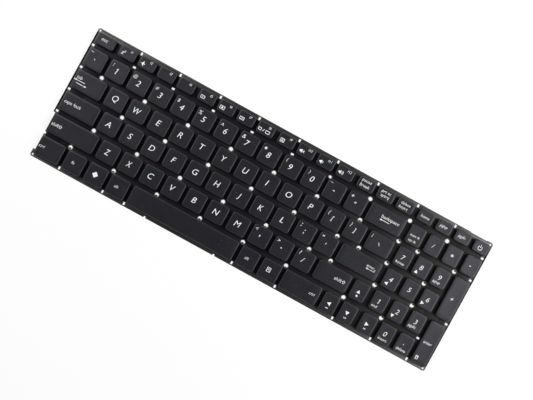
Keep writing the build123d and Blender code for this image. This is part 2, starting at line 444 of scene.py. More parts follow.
def absorb(bm, mesh):
    """Adds a mesh to a bmesh. The mesh itself is removed."""
    bm.from_mesh(mesh)
    bpy.data.meshes.remove(mesh)


def curve_bmesh(curve, doubles):
    """A bmesh of a curve or a text, with vertices closer than this merged. The curve itself is removed."""
    holder = bpy.data.objects.new("holder", curve)
    bm = bmesh.new()
    absorb(bm, bpy.data.meshes.new_from_object(holder))
    bmesh.ops.remove_doubles(bm, verts=bm.verts, dist=doubles)
    bpy.data.objects.remove(holder)
    bpy.data.curves.remove(curve)
    return bm


def word_ink(text, size):
    """A thin flat solid of a word, in millimetres about its own middle."""
    curve = bpy.data.curves.new("print", "FONT")
    curve.body = text
    curve.size = size
    curve.shear = FONT_SHEAR
    curve.extrude = INK_ABOVE
    curve.resolution_u = 6
    bm = curve_bmesh(curve, doubles=0.001)
    spread = {}
    for vert in bm.verts:
        sides = [face.normal for face in vert.link_faces if abs(face.normal.z) < 0.5]
        spread[vert] = sum(sides, Vector()).normalized() * INK_SPREAD * size
    for vert, move in spread.items():
        vert.co += move
    bmesh.ops.scale(bm, verts=bm.verts, vec=(NARROW.get(text, 1), 1, 1))
    low, high = island_box(bm.verts)
    bmesh.ops.translate(bm, verts=bm.verts, vec=-(low + high) / 2)
    return bm


trial = word_ink("esc", 3.6)
size = [round(side, 2) for side in island_box(trial.verts)[1] * 2]
print("esc is", size, "mm with", len(trial.faces), "faces")
trial.free()

# %% [markdown]
# ## Printed signs
# Arrows, a speaker and the like aren't in the font. A sign is drawn as a few flat shapes in millimetres: bars,
# rings and polygons, each of which becomes a prism as thick as the ink. Drawing them from the same few
# helpers keeps their line width even, as one print screen would.

# %% Helpers for signs
LINE = 0.4
FINE_LINE = 0.28


def bar(x0, y0, x1, y1, width=LINE):
    """A straight line with square ends."""
    run = Vector((x1 - x0, y1 - y0)).normalized() * width / 2
    side = Vector((-run.y, run.x))
    a, b = Vector((x0, y0)) - run, Vector((x1, y1)) + run
    return [a - side, b - side, b + side, a + side]


def path(*points, width=LINE):
    """Straight lines from point to point."""
    return [bar(*a, *b, width) for a, b in zip(points, points[1:])]


def frame_sign(x, y, half_x, half_y):
    """The outline of a box."""
    left, right, front, back = x - half_x, x + half_x, y - half_y, y + half_y
    return path((left, front), (right, front), (right, back), (left, back), (left, front))


def arc(x, y, radius, start, end, width=LINE):
    """Part of a ring, from one angle to another in degrees."""
    steps = max(3, round(abs(end - start) / 20))
    shapes = []
    for n in range(steps):
        a, b = (radians(start + (end - start) * k / steps) for k in (n, n + 1))
        inner, outer = radius - width / 2, radius + width / 2
        ends = [(inner, a), (outer, a), (outer, b), (inner, b)]
        shapes.append([Vector((x + r * cos(t), y + r * sin(t))) for r, t in ends])
    return shapes


def polygon(*points):
    return [[Vector(point) for point in points]]


def circle(middle, radius, steps):
    """Points round a circle."""
    angles = [n * 2 * pi / steps for n in range(steps)]
    return [middle + radius * Vector((cos(a), sin(a))) for a in angles]


def disc(x, y, radius):
    return [circle(Vector((x, y)), radius, 16)]


print("a sign's lines are", LINE, "mm wide, fine ones", FINE_LINE)

# %% [markdown]
# ## Signs made of them
# Most signs come more than once: arrows on tab and backspace, triangles on the cursor keys and the pad, three
# speakers. Each gets a small function with its place as its first values. The arrow on the shift keys is only
# an outline, and so small that it needs the finer line.

# %% Draw the signs that repeat
HEAD_LENGTH, HEAD_HALF = 1.6, 0.75


def arrow(x, y, length):
    """A level arrow about a middle; a negative length points left."""
    tip, tail = x + length / 2, x - length / 2
    back = tip - HEAD_LENGTH * (1 if length > 0 else -1)
    return path((tail, y), (back, y)) + polygon((tip, y), (back, y + HEAD_HALF), (back, y - HEAD_HALF))


def triangle(x, y, size, turn):
    """A solid triangle that points at an angle in degrees."""
    angles = [radians(turn + n * 120) for n in range(3)]
    radius = size / 1.6  # it is 1.5 radii long and 1.73 wide
    return polygon(*((x + radius * cos(a), y + radius * sin(a)) for a in angles))


def speaker(x, y):
    """A horn that opens to the right, with its mouth at x."""
    upper = [(x - 2.0, y + 0.65), (x - 1.2, y + 0.65), (x, y + 1.6)]
    return polygon(*((px, 2 * y - py) for px, py in upper), *reversed(upper))


def cross(x, y, half):
    return path((x - half, y - half), (x + half, y + half)) + path((x - half, y + half), (x + half, y - half))


def star(x, y, radius, width):
    """Three bars that cross in one point."""
    tips = [radius * Vector((cos(n * pi / 3), sin(n * pi / 3))) for n in range(3)]
    return [bar(x - tip.x, y - tip.y, x + tip.x, y + tip.y, width) for tip in tips]


def shift_arrow(x, y):
    """An upward arrow in outline."""
    right = [(0, 1.25), (1.1, 0.1), (0.52, 0.1), (0.52, -1.15)]
    outline = right + [(-px, py) for px, py in reversed(right)]
    return path(*((x + px, y + py) for px, py in outline), width=FINE_LINE)


print("an arrow has", len(arrow(0, 0, 8)), "shapes, a star", len(star(0, 0, 1, LINE)))

# %% [markdown]
# ## What is printed where
# The layout is the common one of a full-size laptop keyboard. Letters and digits stand near the middle of
# their caps, and the second sign of a key stands in its back left corner. Places are in millimetres from the
# middle of the cap, as measured on the flattened photograph.

# %% List the words
LETTER, PAD_DIGIT, SMALL, MODIFIER, TINY = 6.5, 5.4, 3.7, 3.4, 3.2
SECOND_X = -4.9
words = {letter: [(letter.upper(), -0.8, 0.1, LETTER)] for letter in "qwertyuiopasdfghjklzxcvbnm"}
words["j"] = [("J", -0.5, 0, 5.6)]
words |= {digit: [(digit, -0.5, 0, LETTER)] for digit in "1234567890"}
for digit, second, size in zip("123456790", "!@#$%^&()", (3.7, 3.4, 3.7, 3.7, 4.5, 5.2, 4.6, 3.7, 3.7)):
    words[digit].append((second, SECOND_X, 3.8, size))
for name, first, size, second, second_size, second_y in [
    ("minus", "-", 6.3, "_", 4.8, 5.2),
    ("equals", "=", 3.6, "+", 5.0, 4.0),
    ("left_bracket", "[", 4.7, "{", 3.9, 3.4),
    ("right_bracket", "]", 4.7, "}", 3.9, 3.4),
    ("semicolon", ";", 6.4, ":", 6.0, 4.3),
    ("apostrophe", "'", 5.8, "\"", 5.8, 4.8),
    ("comma", ",", 8.5, "<", 4.2, 4.5),
    ("period", ".", 9.5, ">", 4.2, 4.5),
    ("slash", "/", 5.6, "?", 4.6, 4.5),
]:
    words[name] = [(first, -0.7, 0.1, size), (second, SECOND_X, second_y, second_size)]
words["backslash"] = [("|", -7.9, 3.8, 3.4)]
words["grave"] = [("~", SECOND_X, 4.7, 4.4)]
for number in range(1, 13):
    words[f"f{number}"] = [(f"f{number}", 2.6, 2.2, 2.7)]
words["f1"] += [("z", -3.8, -1.2, 4.6), ("z", -2.3, 0.4, 3.2)]
for name, *placed in [
    ("escape", ("esc", -0.9, 0.3, 4.0)),
    ("pause", ("pause", -0.6, 1.9, 3.5), ("break", -0.6, -1.4, 3.5)),
    ("print", ("prt sc", -0.6, 1.7, 3.4), ("sysrq", -0.3, -1.6, 3.4)),
    ("delete", ("delete", -0.3, 1.6, TINY), ("insert", -1.0, -1.8, TINY)),
    ("home", ("home", -0.6, 0, TINY)),
    ("page_up", ("pgup", -0.8, 0, TINY)),
    ("page_down", ("pgdn", -0.9, 0, TINY)),
    ("backspace", ("backspace", 3.2, 0.8, SMALL)),
    ("tab", ("tab", -8.6, 1.8, SMALL)),
    ("caps_lock", ("caps lock", -5.8, -0.1, SMALL)),
    ("enter", ("enter", 9.6, 1.0, 3.0)),
    ("left_shift", ("shift", -14.8, -0.4, SMALL)),
    ("right_shift", ("shift", 4.8, -0.1, SMALL)),
    ("left_control", ("ctrl", -6.6, -0.2, MODIFIER)),
    ("right_control", ("ctrl", 10.0, 0.1, MODIFIER)),
    ("fn", ("fn", -0.9, 0, MODIFIER)),
    ("left_alt", ("alt", -1.1, 0, MODIFIER)),
    ("right_alt", ("alt", -0.9, 0.1, MODIFIER)),
    ("num_lock", ("num lk", -0.4, -0.5, 2.9), ("scr lk", -0.8, -4.6, 2.9)),
    ("divide", ("/", -0.6, -0.2, 4.8)),
    ("subtract", ("-", -0.7, -0.2, LETTER)),
    ("add", ("+", -0.7, -0.2, 5.4)),
    ("pad_enter", ("enter", -0.7, -0.2, TINY)),
    ("pad_point", (".", -0.5, -0.2, LETTER), ("delete", -0.6, -4.5, TINY)),
]:
    words[name] = placed
for digit in "0123456789":
    words[f"pad_{digit}"] = [(digit, -0.5, 0, PAD_DIGIT)]
for digit, word, x, y in [
    ("7", "home", -1.0, -4.4),
    ("9", "pgup", -1.6, -4.5),
    ("1", "end", -2.2, -4.2),
    ("3", "pgdn", -1.8, -4.3),
    ("0", "insert", -0.7, -4.5),
]:
    words[f"pad_{digit}"].append((word, x, y, TINY))
print(sum(len(placed) for placed in words.values()), "words and characters")

# %% [markdown]
# ## Where the signs go
# The drawn signs have their places in the same millimetres, written into the calls that draw them. A few keys
# need only a short stroke that the font lacks, such as the flag of a 1.

# %% List the signs
signs = {
    "1": path((-1.1, 1.6), (-0.1, 2.2)),
    "pad_1": path((-1.0, 1.3), (-0.1, 1.8)),
    "8": star(SECOND_X, 3.8, 1.0, 0.45),
    "multiply": star(-0.5, 0.1, 1.05, 0.42),
    "grave": path((-1.0, 0.3), (-0.4, -0.4)),
    "backslash": path((-1.0, 1.0), (0.2, -1.0)),
    "f2": polygon((-5.2, -1), (-3.8, -0.6), (-3.0, 0.8), (-2.4, 0.8), (-2.7, -0.6), (-1.8, -0.6), (-1.4, -1))
    + polygon((-5.2, -1), (-1.4, -1), (-1.8, -1.4), (-2.7, -1.4), (-2.4, -2.8), (-3.0, -2.8), (-3.8, -1.4)),
    "f5": frame_sign(-3.2, -1.2, 1.5, 1.0) + disc(-3.2, -1.2, 0.35),
    "f6": frame_sign(-3.2, -1.2, 1.8, 1.2) + disc(-3.2, -1.2, 0.75),
    "f7": frame_sign(-3.2, -1.2, 1.7, 1.0) + path((-4.0, -1.7), (-2.4, -0.7)),
    "f8": frame_sign(-4.4, -1.3, 1.1, 0.9) + path((-1.9, -2.3), (-0.9, -0.4)) + frame_sign(2.2, -1.5, 1.5, 1.0),
    "f9": frame_sign(-3.3, -1.0, 1.5, 1.3) + cross(-3.3, -1.0, 0.6),
    "f10": speaker(-3.2, -1.0) + cross(-2.1, -1.0, 0.75),
    "f11": speaker(-3.0, -1.0) + arc(-3.2, -1.0, 1.1, -45, 45),
    "f12": speaker(-3.4, -1.0) + arc(-3.6, -1.0, 1.1, -45, 45) + arc(-3.6, -1.0, 2.1, -45, 45),
    "power": arc(-0.7, -0.6, 1.6, 125, 415) + path((-0.7, 0.0), (-0.7, 1.6)),
    "tab": arrow(-7.5, -0.7, -8.4) + path((-11.9, -1.2), (-11.9, -0.2)) + arrow(-5.1, -2.9, 8.4),
    "backspace": arrow(-0.6, -1.7, -7.9),
    "enter": path((13.5, 0.3), (13.5, -1.2), (8.0, -1.2), width=0.32)
    + polygon((6.3, -1.2), (7.9, -0.45), (7.9, -1.95)),
    "left_shift": shift_arrow(-10.5, -0.3),
    "right_shift": shift_arrow(9.6, 0.0),
    "system": polygon((-0.7, 2.4), (-3.1, 0), (-0.7, -2.4), (1.7, 0)),
    "menu": frame_sign(-1.0, 0.3, 1.4, 1.6) + path((-1.6, 1.0), (-0.4, 1.0)) + path((-1.6, 0.2), (-0.4, 0.2)),
    "up": triangle(-0.4, -1.1, 2.7, 90) + disc(-0.4, -4.2, 0.8),
    "left": triangle(0, -0.1, 3.0, 180) + triangle(-0.9, -3.9, 1.0, 180) + triangle(0.1, -3.9, 1.0, 180),
    "down": triangle(-0.4, 0.3, 3.0, 270) + triangle(-0.9, -3.9, 1.1, 0) + path((0.3, -4.3), (0.3, -3.5)),
    "right": triangle(-0.8, -0.2, 3.0, 0) + triangle(-1.0, -3.9, 1.0, 0) + triangle(0.0, -3.9, 1.0, 0),
    "pad_8": triangle(-2.9, -4.7, 2.7, 90),
    "pad_4": triangle(-2.4, -3.9, 2.7, 180),
    "pad_6": triangle(-3.6, -3.9, 2.7, 0),
    "pad_2": triangle(-2.9, -3.9, 2.7, 270),
    "pad_enter": frame_sign(-3.1, -13.3, 0.8, 1.3) + path((-3.5, -12.8), (-2.7, -12.8)),
}
print(len(signs), "keys carry a drawn sign")

# %% [markdown]
# ## The caps
# A cap and its print are one piece, as on the real part: the ink is bonded to the plastic and travels with
# it. The print's vertices take their height from the cap's own surface, so a legend never floats or sinks. The
# home keys and the pad's 5 also have a small raised bar for the fingers.

# %% Lay the print and the bars
HOMING_BAR = Vector((3.0, 0.5, 0.2)) * MM
HOMING_DROP = 4.6 * MM
HOMING_FOOT = 0.1 * MM
HOMING_ROUND = 0.12 * MM
INK_MATERIAL = 2


def lay_ink(bm, ink, cap, x, y):
    """Moves a thin flat solid in millimetres onto a cap's top, and adds it as print."""
    for vert in ink.verts:
        px, py = (vert.co.x + x) * MM, (vert.co.y + y) * MM
        vert.co = (px, py, cap.surface(px, py) + vert.co.z * MM)
    for face in ink.faces:
        face.material_index = INK_MATERIAL
    absorb(bm, as_mesh(ink, "print"))


def sign_ink(shapes):
    """Flat shapes as prisms of ink."""
    bm = bmesh.new()
    for shape in shapes:
        add_rings(bm, [[Vector((p.x, p.y, z)) for p in shape] for z in (-INK_ABOVE, INK_ABOVE)])
    bmesh.ops.recalc_face_normals(bm, faces=bm.faces)
    return bm


def add_homing_bar(bm, cap):
    """A rounded bar whose foot is sunk into the top."""
    made = bmesh.ops.create_cube(bm, size=1.0)["verts"]
    foot = cap.surface(0, -HOMING_DROP) - HOMING_FOOT
    tall = CAP_TOP + HOMING_BAR.z - foot
    size = Matrix.Diagonal((HOMING_BAR.x, HOMING_BAR.y, tall, 1))
    place = Matrix.Translation((0, -HOMING_DROP, foot + tall / 2))
    bmesh.ops.transform(bm, matrix=place @ size, verts=made)
    top = {e for v in made if v.co.z > CAP_TOP for e in v.link_edges}
    bmesh.ops.bevel(bm, geom=list(top), offset=HOMING_ROUND, segments=3, affect="EDGES")


print("a homing bar is", round(HOMING_BAR.x / MM, 1), "mm long")

# %% [markdown]
# ## From mesh to piece
# A mesh becomes a piece of the object in two steps. It gets its finishes and its shading: smooth, but sharp where
# faces meet at more than a given angle. Then it is tied to the frame: the body that it rides on and the CAD node
# that it stands for. Both are functions, because every piece needs them.


# %% Assemble the caps
def finish_mesh(bm, name, *materials, angle=35):
    """A smooth-shaded mesh object with sharp edges kept, linked into the scene."""
    mesh = as_mesh(bm, name)
    for material in materials:
        mesh.materials.append(material)
    mesh.shade_smooth()
    mesh.set_sharp_from_angle(angle=radians(angle))
    piece = bpy.data.objects.new(name, mesh)
    scene.collection.objects.link(piece)
    return piece


def settle(piece, node=None, body="base"):
    """Makes a piece ride on a body and stand for a CAD node, which it hides."""
    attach(piece, body)
    if node:
        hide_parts(node)
    return piece


def make_cap(name):
    cap = Cap(name)
    bm = bmesh.new()
    cap.build(bm)
    if name in ("f", "j", "pad_5"):
        add_homing_bar(bm, cap)
    for text, x, y, size in words.get(name, []):
        lay_ink(bm, word_ink(text, size), cap, x, y)
    if name in signs:
        lay_ink(bm, sign_ink(signs[name]), cap, 0, 0)
    bmesh.ops.translate(bm, verts=bm.verts, vec=(cap.middle.x, cap.middle.y, 0))
    piece = finish_mesh(bm, f"cap_{name}", cap_plastic, edge_highlight, white_print)
    return settle(piece, key_node[name], f"key_{name}" if name in travelling else "base")


caps = [make_cap(name) for name in key_box]
print(len(caps), "caps with", sum(len(cap.data.polygons) for cap in caps), "faces")

# %% [markdown]
# ## Plate and film finishes
# The plate is thin steel with a black satin coat, rolled and then punched. Its cut edges show a thin line of
# bare metal only where they face the back, towards the lamps, a painted highlight; the other cut edges keep the
# black coat as painted shade. The switch film is polyester printed black on top. Its ink is faintly purple;
# towards the number pad it turns lighter and browner, painted light that a slow drift between two tints along
# the keyboard gives.

# %% Make the finishes of the plate and the film
COAT_DUST = {"size": 0.6, "low": 0.80, "high": 0.86, "strength": 0.3, "pale": (0.16, 0.16, 0.15)}


def film_finish():
    material, tree, shader = start_finish("black_switch_film", Specular_IOR_Level=0.14)
    place = Socket.of(tree, "ShaderNodeTexCoord", result="Object")
    along = Socket.of(tree, "ShaderNodeSeparateXYZ", values={"Vector": place}, result="X")
    drift = grain(tree, 45.0, 1.0) * 0.06
    haze = grain(tree, 1.5, 3.0)
    # painted light: the film turns lighter and browner towards the number pad
    painted_light_share = ramp(tree, along + drift, 0.07, 0.17)
    tint = blend(tree, painted_light_share, (0.0038, 0.0017, 0.0054, 1), (0.0150, 0.0122, 0.0110, 1))
    feed(shader, Base_Color=blend(tree, haze * 0.2, tint, (0.014, 0.012, 0.014, 1)))
    feed(shader, Roughness=0.40 + haze * 0.18)
    feed(shader, Normal=bump(tree, grain(tree, 0.4), 0.004))
    return material


black_steel = grained_finish(
    "black_coated_steel", size=3.0, detail=4.0, dark=(0.006, 0.006, 0.0057), light=(0.011, 0.0108, 0.0102),
    rough=0.34, swing=0.10, relief=(0.2, 0.008), dust=COAT_DUST, Specular_IOR_Level=0.55,
)
cut_steel = grained_finish(
    "cut_steel", size=0.15, dark=(0.20, 0.20, 0.19), light=(0.42, 0.42, 0.40), rough=0.35, swing=0.2, Metallic=1.0
)
black_film = film_finish()
print("finishes:", black_steel.name, cut_steel.name, black_film.name)

# %% [markdown]
# ## The punched plate
# The CAD plate has eight-sided holes where the real ones are round. Its outlines are read from the upper face
# of the node, and eight-sided loops become circles. Points in the middle of straight runs are left out first,
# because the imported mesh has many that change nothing.

# %% Read the plate's outlines
PLATE_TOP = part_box("base_plate")[1].z
HOLE_SIDES = 8
HOLE_LIMIT = 4.0
CIRCLE_STEPS = 28


def face_loops(node, level):
    """Closed outlines of a node's flat face at one height, as lists of 2-D points in millimetres."""
    bm = merged_copy(node)
    flat = [f for f in bm.faces if all(abs(v.co.z - level) < 0.01 * MM for v in f.verts)]
    inside = set(flat)
    following = {}
    for face in flat:
        for loop in face.loops:
            if sum(other in inside for other in loop.edge.link_faces) == 1:
                following[loop.vert] = loop.link_loop_next.vert
    outlines = []
    while following:
        start, vert = following.popitem()
        outline = [start]
        while vert is not start:
            outline.append(vert)
            vert = following.pop(vert)
        outlines.append([Vector((v.co.x, v.co.y)) / MM for v in outline])
    bm.free()
    return outlines


def without_straights(points):
    """Leaves out points that lie in the middle of a straight run."""
    kept = []
    for n, point in enumerate(points):
        before, after = points[n - 1], points[(n + 1) % len(points)]
        a, b = point - before, after - point
        if abs(a.x * b.y - a.y * b.x) > 1e-3 * a.length * b.length:
            kept.append(point)
    return kept


def middle_of(points):
    return sum(points, Vector((0, 0))) / len(points)


def rounded(points):
    """An eight-sided hole as the circle inside its sides; any other outline as it is."""
    if len(points) != HOLE_SIDES or max(p.x for p in points) - min(p.x for p in points) > HOLE_LIMIT:
        return points
    middle = middle_of(points)
    radius = sum((p - middle).length for p in points) / HOLE_SIDES * cos(pi / HOLE_SIDES)
    return circle(middle, radius, CIRCLE_STEPS)


plate_outlines = [rounded(without_straights(loop)) for loop in face_loops("base_plate", PLATE_TOP)]
print("the plate has", len(plate_outlines), "outlines")

# %% [markdown]
# ## A sheet from its outlines
# Cutting each hole out of a block would be slow and leave poor faces. One flat curve that holds all the outlines
# fills the sheet and leaves the holes open in one go, and a small bevel on the curve breaks the punched edges.
# Only faces that look to the back, towards the lamps, show bare metal, a painted highlight; the other
# edges stay black as painted shade.

# %% Build the plate
PUNCHED_EDGE = 0.08
FACES_BACK = 0.3


def add_spline(curve, kind, points):
    """A spline with control points at these places."""
    spline = curve.splines.new(kind)
    spline.points.add(len(points) - 1)
    for place, point in zip(spline.points, points):
        place.co = (*point.to_3d(), 1)
    return spline


def sheet_bmesh(outlines, low, high, edge):
    """A flat sheet from one height to another, with holes and softened edges, from outlines in millimetres."""
    curve = bpy.data.curves.new("sheet", "CURVE")
    curve.dimensions = "2D"
    curve.fill_mode = "BOTH"
    curve.extrude = (high - low) / MM / 2 - edge
    curve.bevel_depth = edge
    curve.bevel_resolution = 1
    curve.offset = -edge
    for outline in outlines:
        add_spline(curve, "POLY", outline).use_cyclic_u = True
    bm = curve_bmesh(curve, doubles=0.002)
    place = Matrix.Translation((0, 0, (low + high) / 2)) @ Matrix.Scale(MM, 4)
    bmesh.ops.transform(bm, matrix=place, verts=bm.verts)
    return bm


bm = sheet_bmesh(plate_outlines, 0, PLATE_TOP, PUNCHED_EDGE)
# painted highlight and shade: bare metal only on faces towards the back, black coat on the rest
for face in bm.faces:
    face.material_index = 1 if face.normal.y > FACES_BACK else 0
plate = finish_mesh(bm, "punched_plate", black_steel, cut_steel, angle=25)
settle(plate, "base_plate")
print("plate with", len(plate.data.polygons), "faces")

# %% [markdown]
# ## The switch film
# The film lies on the plate and leaves a window round each rivet hole. The CAD film joins the windows of a row
# to one long slot, to save faces. Here each hole of the plate that lies under the film gives its own window, a
# little wider than the hole, and the film's outline stays as it is in the frame.

# %% Build the film
FILM_LOW, FILM_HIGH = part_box("switch_film")
FILM_TOP = FILM_HIGH.z
WINDOW_MARGIN = 0.4
FILM_EDGE = 0.04


def window(outline):
    """A hole's outline, wider all round."""
    middle = middle_of(outline)
    grown = []
    for point in outline:
        away = point - middle
        if len(outline) == 4:
            grown.append(point + WINDOW_MARGIN * Vector((1 if away.x > 0 else -1, 1 if away.y > 0 else -1)))
        else:
            grown.append(point + WINDOW_MARGIN * away.normalized())
    return grown


def under_film(outline):
    """True for a small hole that lies within the film's outline."""
    xs, ys = zip(*outline)
    small = max(xs) - min(xs) < HOLE_LIMIT and max(ys) - min(ys) < HOLE_LIMIT
    return small and max(map(abs, xs)) < FILM_HIGH.x / MM and max(map(abs, ys)) < FILM_HIGH.y / MM


left, front, right, back = *(FILM_LOW.xy / MM), *(FILM_HIGH.xy / MM)
film_edge = [Vector(corner) for corner in ((left, front), (right, front), (right, back), (left, back))]
windows = [window(outline) for outline in plate_outlines if under_film(outline)]
bm = sheet_bmesh([film_edge] + windows, PLATE_TOP, FILM_TOP, FILM_EDGE)
film = finish_mesh(bm, "film_with_windows", black_film, angle=25)
settle(film, "switch_film")
print("film with", len(windows), "windows")

# %% [markdown]
# ## Rims of the holes
# Every round hole has a thin rolled rim of bare steel, a grey ring round the white that shines through, which
# is partly painted shade: it stands for the shade at the hole's edge. A closed profile turned about each hole's
# middle makes it, and all of them are one piece.

# %% Turn the rims
RIM_PROFILE = [(0.16, 0.60), (0.05, 0.66), (-0.12, 0.62), (-0.30, 0.35), (-0.32, 0.03), (0.04, 0.03)]
RIM_PROFILE += [(0.04, 0.45)]
MOST_STEPS = 60

# partly painted shade: the grey rim stands for the shade at each hole's edge
rim_steel_and_shade = grained_finish(
    "rim_steel_and_shade", size=0.3, dark=(0.20, 0.195, 0.18), light=(0.36, 0.355, 0.33), rough=0.30, swing=0.2, Metallic=0.9
)
bm = bmesh.new()
circles = [outline for outline in plate_outlines if CIRCLE_STEPS <= len(outline) < MOST_STEPS]
round_holes = [(middle_of(outline), (outline[0] - middle_of(outline)).length) for outline in circles]
for middle, radius in round_holes:
    if radius > HOLE_LIMIT / 2:
        continue
    stack = []
    for out in circle(Vector((0, 0)), 1, CIRCLE_STEPS):
        spots = [(middle + (radius + step) * out, height) for step, height in RIM_PROFILE]
        stack.append([bm.verts.new(Vector((*spot, height)) * MM) for spot, height in spots])
    for section, following in zip(stack, stack[1:] + stack[:1]):
        join_rings(bm, section, following)
bmesh.ops.recalc_face_normals(bm, faces=bm.faces)
rims = finish_mesh(bm, "hole_rims", rim_steel_and_shade)
settle(rims)
print(len(round_holes), "round holes with rims")

# %% [markdown]
# ## Painted shade in the holes
# In most holes a dark rounded disc, painted shade, covers part of the white, which leaves a bright crescent. It
# stands at the front of a hole in the main block and at its back on the number pad. In the main block it reaches
# further in towards the right, and in the front row towards the left. A disc let into the hole's wall has that
# shape; the rest of it is hidden in the sheet.

# %% Let in the painted shade discs
SHADE_DISC_RADIUS = 1.25
SHADE_DISC_SIDES = 20
SHADE_DISC_LOW, SHADE_DISC_HIGH = 0.22 * MM, 0.40 * MM
SHADE_DISC_EDGE = 0.03
PAD_SIDE, BACK_HOLES, FRONT_HOLES = 100.0, 35.0, -30.0
SMALLEST_HOLE = 1.6
SHORT_REACH, LONG_REACH = 0.65, 1.6
MAIN_RUN, FRONT_RUN = (-40, 70), (60, 10)
PAD_BACK_REACH, PAD_FRONT_REACH = 1.65, 1.3
PAD_DIRECTION = Vector((0.35, 0.94))


def shade_disc_reach(x, y):
    """How far a shade disc reaches in from the hole's wall, and from which side, for a hole at this place."""
    if x > PAD_SIDE:
        return PAD_BACK_REACH if y > 0 else PAD_FRONT_REACH, PAD_DIRECTION
    start, end = FRONT_RUN if y < FRONT_HOLES else MAIN_RUN
    share = min(max((x - start) / (end - start), 0), 1)
    return SHORT_REACH + (LONG_REACH - SHORT_REACH) * share, Vector((0, -1))


shade_disc_outlines = []
for middle, radius in round_holes:
    if radius < SMALLEST_HOLE or middle.y > BACK_HOLES:
        continue
    reach, side = shade_disc_reach(middle.x, middle.y)
    centre = middle + side * (radius - reach + SHADE_DISC_RADIUS)
    shade_disc_outlines.append(circle(centre, SHADE_DISC_RADIUS, SHADE_DISC_SIDES))
# painted shade: dark discs in the holes leave only a crescent of white
bm = sheet_bmesh(shade_disc_outlines, SHADE_DISC_LOW, SHADE_DISC_HIGH, SHADE_DISC_EDGE)
painted_shade_discs = finish_mesh(bm, "hole_shade_discs", black_steel, angle=25)
settle(painted_shade_discs)
print(len(shade_disc_outlines), "painted_shade_discs")

# %% [markdown]
# ## Painted shade along the ends
# Both ends of the plate look dead black, with no sheen at all, next to caps that shine a little. A narrow strip
# of dull black on each end paints that shade as a line. On the left it stops where the plate steps in.

# %% Lay the painted shade strips
SHADE_STRIP_WIDTH = 1.15
SHADE_STRIP_THICKNESS = 0.06 * MM
SHADE_STRIP_EDGE = 0.02
SHADE_STRIP_INSET = 0.1
SHADE_STRIP_BACK = cad_high.y / MM - 4.0
SHADE_STRIP_GRAIN = 0.15


def shade_strip(side, front):
    """The outline of a strip along one end of the plate, from its back to a place in front."""
    outer = side * (cad_high.x / MM - SHADE_STRIP_INSET)
    inner = outer - side * SHADE_STRIP_WIDTH
    corners = [(inner, front), (outer, front), (outer, SHADE_STRIP_BACK), (inner, SHADE_STRIP_BACK)]
    return [Vector(corner) for corner in corners[::side]]


step_back = key_box["left_shift"][1].y / MM + SHADE_STRIP_INSET
strips = [shade_strip(-1, step_back), shade_strip(1, -SHADE_STRIP_BACK)]
# painted shade: dull black strips along both ends of the plate
bm = sheet_bmesh(strips, PLATE_TOP, PLATE_TOP + SHADE_STRIP_THICKNESS, SHADE_STRIP_EDGE)
painted_shade_black = grained_finish(
    "painted_shade_black", size=SHADE_STRIP_GRAIN, dark=(0.0020, 0.0020, 0.0022), light=(0.0050, 0.0050, 0.0052), rough=0.7,
    swing=0.2, relief=(SHADE_STRIP_GRAIN, 0.01), Specular_IOR_Level=0.08,
)
painted_shade = finish_mesh(bm, "edge_painted_shade", painted_shade_black, angle=25)
settle(painted_shade)
print(len(strips), "strips of tape")

# %% [markdown]
# ## Link plastic and silicone
# The links are moulded in unfilled white plastic that yellows slightly. The domes are milky silicone, which
# lets some light through; a little subsurface scatter gives the soft look without real transparency.

# %% Make the finishes of the links and the domes
SCATTER = {"Subsurface_Weight": 0.25, "Subsurface_Radius": (1.0, 0.95, 0.85), "Subsurface_Scale": 0.6 * MM}

link_plastic = grained_finish(
    "link_plastic", size=2.0, detail=3.0, dark=(0.52, 0.52, 0.49), light=(0.66, 0.66, 0.63), rough=0.38, swing=0.15,
    relief=(0.1, 0.003), Specular_IOR_Level=0.5,
)
milky_silicone = grained_finish(
    "milky_silicone", size=1.2, dark=(0.68, 0.68, 0.65), light=(0.78, 0.78, 0.75), rough=0.42, swing=0.15,
    Specular_IOR_Level=0.45, **SCATTER,
)
print("finishes:", link_plastic.name, milky_silicone.name)

# %% [markdown]
# ## Scissor links
# Under each cap two plastic yokes cross like scissors, so that the cap stays level wherever it is pressed. The
# CAD gives the tilt and size of both yokes. A copy of one pair is taken from the frame, its edges are rounded
# as a mould leaves them, and pins are added: two at the pivot, and two at each yoke's free ends, which snap
# into the cap. That pair is then used at every place where the frame has one.

# %% Build one scissor
PIN_RADIUS = 0.38 * MM
PIN_REACH = 0.25 * MM
LINK_EDGE = 0.14 * MM
LINK_THICKNESS = 0.6 * MM
ARM_WIDTH = 1.0 * MM
TIP_INSET = 0.6 * MM
PIVOT_ENDS = 0.7 * MM
SAME_SPOT = 0.5


def add_pin(bm, middle, length):
    """A round pin along Y with softened ends."""
    turn = Matrix.Rotation(pi / 2, 4, "X")
    made = bmesh.ops.create_cone(
        bm, cap_ends=True, segments=12, radius1=PIN_RADIUS, radius2=PIN_RADIUS, depth=length,
        matrix=Matrix.Translation(middle) @ turn,
    )["verts"]
    rims = {e for v in made for e in v.link_edges if any(len(f.verts) > 4 for f in e.link_faces)}
    bmesh.ops.bevel(bm, geom=list(rims), offset=0.1 * MM, segments=2, affect="EDGES")


